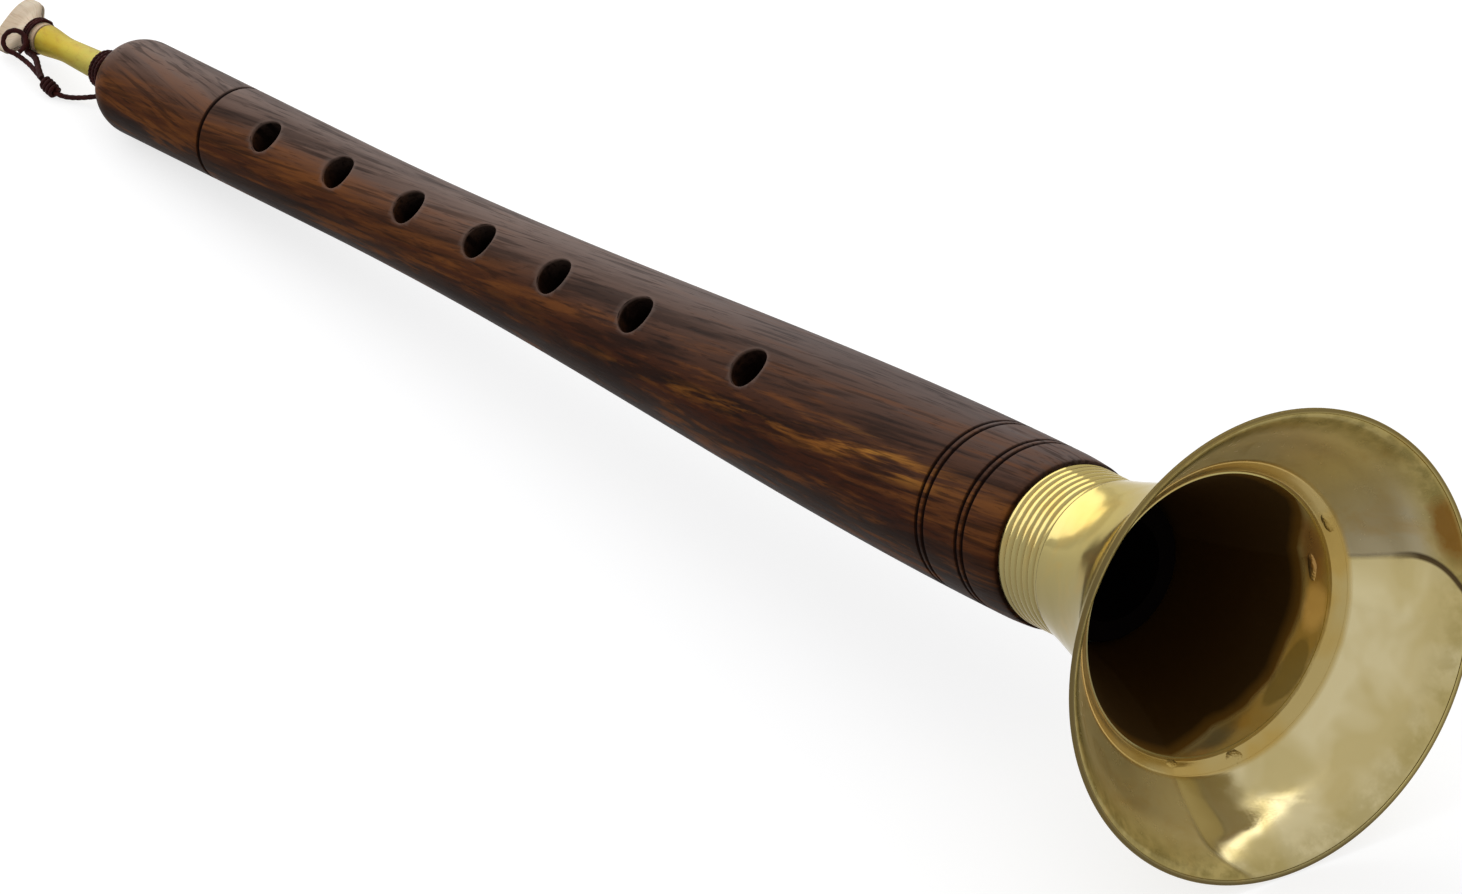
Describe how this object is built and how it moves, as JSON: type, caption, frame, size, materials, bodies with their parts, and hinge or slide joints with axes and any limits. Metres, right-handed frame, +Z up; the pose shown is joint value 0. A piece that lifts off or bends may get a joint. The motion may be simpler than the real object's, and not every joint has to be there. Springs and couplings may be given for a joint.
{
  "type": "shehnai",
  "caption": "Shehnai: conical rosewood pipe with finger holes, turned grooves and a domed head, a flared brass bell, and a quadruple cane reed on a brass staple with a thread tether.",
  "frame": {"origin": "bottom centre of the instrument as it lies on a table, without its tether: on the table, under the middle of its length", "axes": "+X towards the bell's mouth, +Z up, with the finger holes turned 38 degrees from straight up towards -Y; the bore's axis is in the XZ plane and rises 5.7 degrees towards the mouth"},
  "size_m": [0.429, 0.0948, 0.0945],
  "materials": {
    "bell_brass": "polished",
    "rosewood": "oiled, satin",
    "staple_brass": "satin",
    "cane": "dry, matt",
    "dark_thread": "waxed twisted thread",
    "lapping_thread": "waxed thread"
  },
  "bodies": {
    "pipe": {"wooden_pipe": "rosewood", "tenon_lapping": "lapping_thread"},
    "bell": {"bell": "bell_brass"},
    "staple": {"staple": "staple_brass", "staple_lapping": "lapping_thread", "tether_hitch": "dark_thread", "tether_cord": "dark_thread"},
    "reed": {"reed_upper_outer_blade": "cane", "reed_upper_inner_blade": "cane", "reed_lower_inner_blade": "cane", "reed_lower_outer_blade": "cane", "reed_binding": "dark_thread", "tether_knot": "dark_thread", "tether_binding_strand": "dark_thread", "tether_eye_strand": "dark_thread", "tether_eye": "dark_thread"}
  },
  "joints": [
    {"name": "bell_pull", "type": "slide", "parent": "pipe", "child": "bell", "axis": [0.9951, 0, 0.0993], "range_m": [0, 0.018]},
    {"name": "staple_slide", "type": "slide", "parent": "pipe", "child": "staple", "axis": [-0.9951, 0, -0.0993], "range_m": [0, 0.0215]},
    {"name": "reed_slide", "type": "slide", "parent": "staple", "child": "reed", "axis": [-0.9951, 0, -0.0993], "range_m": [0, 0.0055]}
  ]
}
